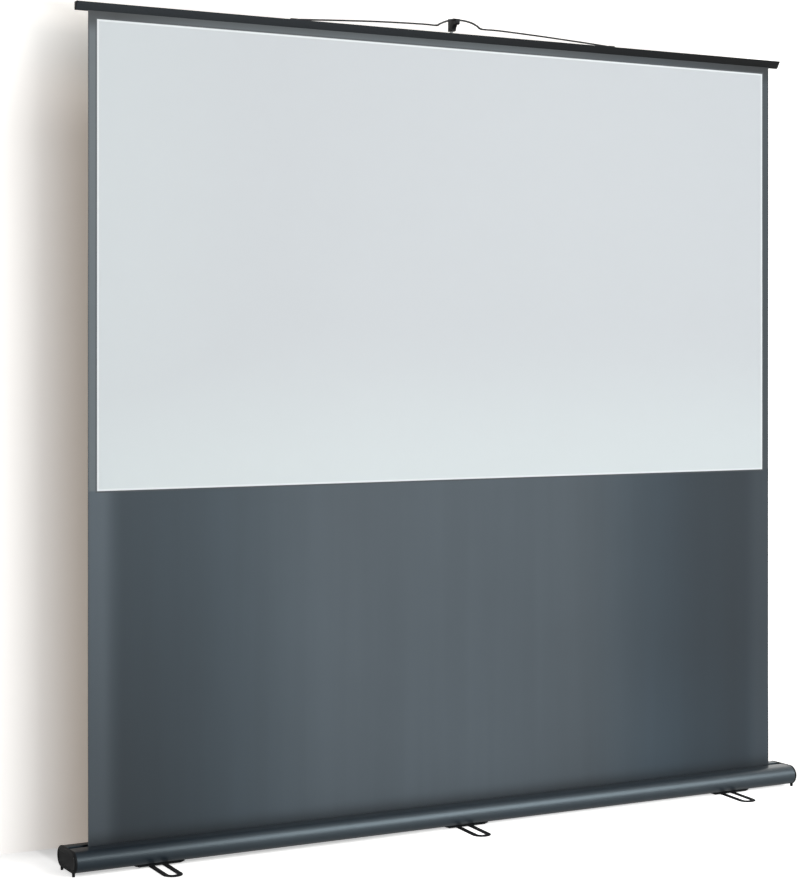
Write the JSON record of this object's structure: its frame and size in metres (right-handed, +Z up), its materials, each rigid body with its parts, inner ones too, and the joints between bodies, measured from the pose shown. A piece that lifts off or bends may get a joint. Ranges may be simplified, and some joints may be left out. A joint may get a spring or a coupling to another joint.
{
  "type": "pull-up projection screen",
  "caption": "Portable pull-up projection screen: cloth on a spring roller in a floor case, turning feet, telescopic rear mast with a hook, and a top bar on a cord.",
  "frame": {"origin": "on the floor under the middle of the case, in the plane of the cloth", "axes": "+X along the case to the viewer's right, +Y to the back, +Z up"},
  "size_m": [2.384, 0.3448, 2.3363],
  "materials": {
    "case_paint": "satin anodised, dark blue-grey",
    "bar_paint": "satin black anodised",
    "alloy": "satin anodised",
    "steel": "zinc plated",
    "black_plastic": "moulded, fine texture",
    "dark_cloth": "coated screen cloth",
    "cord": "braided"
  },
  "bodies": {
    "case": {"case_extrusion": "case_paint", "left_end_cap": "black_plastic", "right_end_cap": "black_plastic", "end_cap_screws": "steel", "left_roller_holder": "steel", "right_roller_holder": "steel", "idler_pin": "steel", "spring_shaft": "steel", "torsion_spring": "steel", "left_foot_plate": "black_plastic", "centre_foot_plate": "black_plastic", "right_foot_plate": "black_plastic", "foot_pivot_screws": "steel", "mast_clevis": "black_plastic", "clevis_screws": "steel", "mast_hinge_pin": "steel", "screen_cloth": "dark_cloth"},
    "roller": {"roller_tube": "alloy", "idler_plug": "black_plastic", "spring_plug": "black_plastic", "wound_cloth": "dark_cloth"},
    "left_foot": {"left_foot": "black_plastic"},
    "centre_foot": {"centre_foot": "black_plastic"},
    "right_foot": {"right_foot": "black_plastic"},
    "bar": {"top_bar": "bar_paint", "left_bar_cap": "black_plastic", "right_bar_cap": "black_plastic", "cloth_clamp_rod": "steel", "left_cord_anchor": "black_plastic", "right_cord_anchor": "black_plastic", "lift_cord": "cord", "grip_sleeve": "cord"},
    "lower_mast": {"mast_foot_plug": "black_plastic", "lower_tube": "alloy", "lower_collar": "black_plastic"},
    "middle_mast": {"middle_bush": "black_plastic", "middle_tube": "alloy", "upper_collar": "black_plastic"},
    "upper_mast": {"upper_bush": "black_plastic", "upper_tube": "alloy", "mast_hook": "black_plastic"}
  },
  "joints": [
    {"name": "bar_slide", "type": "slide", "parent": "case", "child": "bar", "axis": [0, 0, 1], "range_m": [-2.201, 0], "deforming": ["screen_cloth", "lift_cord", "grip_sleeve"]},
    {"name": "roller_spin", "type": "hinge", "parent": "case", "child": "roller", "pos_m": [0, -0.01725, 0.0365], "axis": [1, 0, 0], "range_deg": [-6000, 0]},
    {"name": "left_foot_turn", "type": "hinge", "parent": "case", "child": "left_foot", "pos_m": [-0.947, 0, 0.0032], "axis": [0, 0, 1], "range_deg": [0, 92.4]},
    {"name": "centre_foot_turn", "type": "hinge", "parent": "case", "child": "centre_foot", "pos_m": [0, 0, 0.0032], "axis": [0, 0, 1], "range_deg": [0, 94.8]},
    {"name": "right_foot_turn", "type": "hinge", "parent": "case", "child": "right_foot", "pos_m": [0.947, 0, 0.0032], "axis": [0, 0, 1], "range_deg": [0, 96.3]},
    {"name": "mast_fold", "type": "hinge", "parent": "case", "child": "lower_mast", "pos_m": [0, 0.044, 0.0825], "axis": [0, 1, 0], "range_deg": [0, 90]},
    {"name": "middle_slide", "type": "slide", "parent": "lower_mast", "child": "middle_mast", "axis": [0, 0, 1], "range_m": [-0.69, 0]},
    {"name": "upper_slide", "type": "slide", "parent": "middle_mast", "child": "upper_mast", "axis": [0, 0, 1], "range_m": [-0.684, 0]}
  ],
  "couplings": [
    {"joint": "roller_spin", "follows": "bar_slide", "rad_per_m": 47.4}
  ]
}
